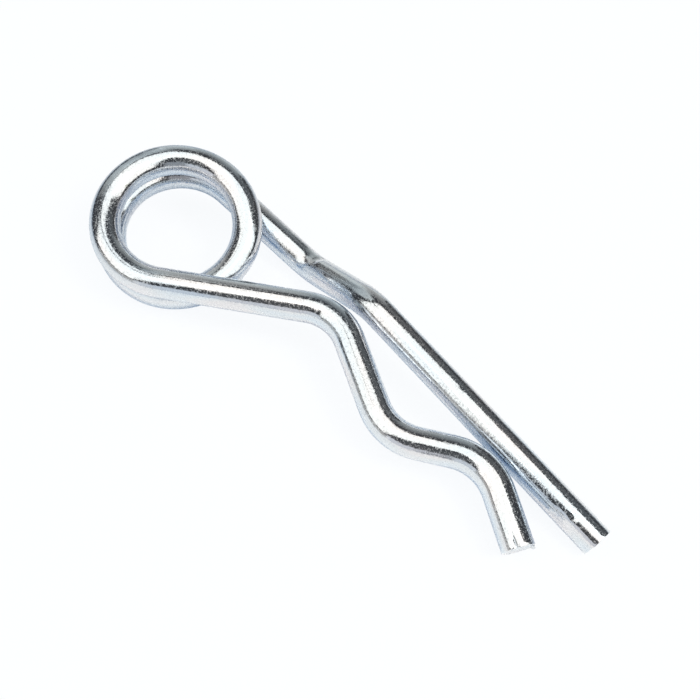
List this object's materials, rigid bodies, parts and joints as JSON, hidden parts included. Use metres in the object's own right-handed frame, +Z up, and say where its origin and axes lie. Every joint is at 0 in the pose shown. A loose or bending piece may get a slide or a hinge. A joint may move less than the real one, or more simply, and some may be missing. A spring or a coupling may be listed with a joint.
{
  "type": "hitch pin r clip",
  "caption": "Spring-wire R clip with a double coil, a joggled straight leg and a wavy leg that snaps round a pin.",
  "frame": {"origin": "on the ground below the middle of the clip's outline", "axes": "+X along the straight leg towards its tip, +Z up, as the clip lies on its side"},
  "size_m": [0.097, 0.0319, 0.0155],
  "materials": {
    "zinc_plated_wire": "bright zinc plating with a clear blue passivate on drawn spring steel"
  },
  "bodies": {
    "root": {"clip_wire": "zinc_plated_wire"}
  },
  "joints": []
}
